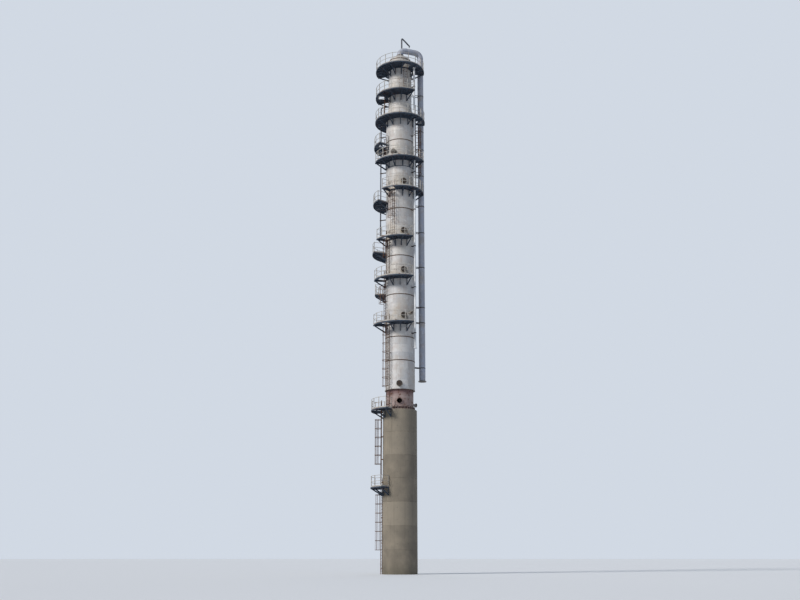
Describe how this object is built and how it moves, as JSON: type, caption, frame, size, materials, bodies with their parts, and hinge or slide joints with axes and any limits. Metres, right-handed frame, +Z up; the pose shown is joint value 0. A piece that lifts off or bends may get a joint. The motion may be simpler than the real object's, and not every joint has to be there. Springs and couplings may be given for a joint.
{
  "type": "distillation column, 1:2 scale model",
  "caption": "Tall clad process column on a round pedestal, with ring platforms, caged ladders, vapour line and top davit.",
  "frame": {"origin": "centre of the pedestal's underside, on the ground", "axes": "+Z up along the column's axis; -Y is the side that the picture shows; +X is to the right as seen from there"},
  "size_m": [2.9, 3.2006, 30.392],
  "materials": {
    "concrete": "weathered, matt",
    "skirt_paint": "matt red-brown primer, weathered",
    "shell_steel": "primed plate",
    "jacket": "dull weathered sheet",
    "deck_paint": "dark, rust at the edges",
    "rail_steel": "weathered grey",
    "ladder_steel": "rusty",
    "fitting_steel": "dark, rusty",
    "pipe_jacket": "dull weathered sheet",
    "riser_paint": "weathered",
    "davit_paint": "dark, weathered"
  },
  "bodies": {
    "column": {"pedestal": "concrete", "base_ring": "skirt_paint", "skirt": "skirt_paint", "bottom_head": "shell_steel", "shell_lower": "shell_steel", "shell_cone": "shell_steel", "shell_upper": "shell_steel", "top_head": "shell_steel", "jacket_lower": "jacket", "jacket_middle": "jacket", "jacket_upper": "jacket", "platform_1": "deck_paint", "platform_2": "deck_paint", "platform_3": "deck_paint", "platform_4": "deck_paint", "platform_5": "deck_paint", "platform_6": "deck_paint", "platform_7": "deck_paint", "platform_8": "deck_paint", "platform_9": "deck_paint", "platform_10": "deck_paint", "platform_11": "deck_paint", "platform_12": "deck_paint", "landings": "deck_paint", "rails_pedestal": "rail_steel", "rails_lower": "rail_steel", "rails_middle": "rail_steel", "rails_upper": "rail_steel", "ladders_pedestal": "ladder_steel", "ladders_lower": "ladder_steel", "ladders_upper": "ladder_steel", "cages_pedestal": "ladder_steel", "cages_lower": "ladder_steel", "cages_upper": "ladder_steel", "manway_necks": "fitting_steel", "manway_covers": "fitting_steel", "nozzles": "fitting_steel", "overhead_line": "pipe_jacket", "reflux_line": "pipe_jacket", "riser_line": "riser_paint", "pipe_guides": "fitting_steel", "bottoms_line": "fitting_steel", "davit_socket": "fitting_steel"},
    "davit": {"davit_mast": "davit_paint"}
  },
  "joints": [
    {"name": "davit_swing", "type": "hinge", "parent": "column", "child": "davit", "pos_m": [0.09993, 0.81389, 27.6], "axis": [0, 0, 1], "range_deg": [-100, 100]}
  ]
}
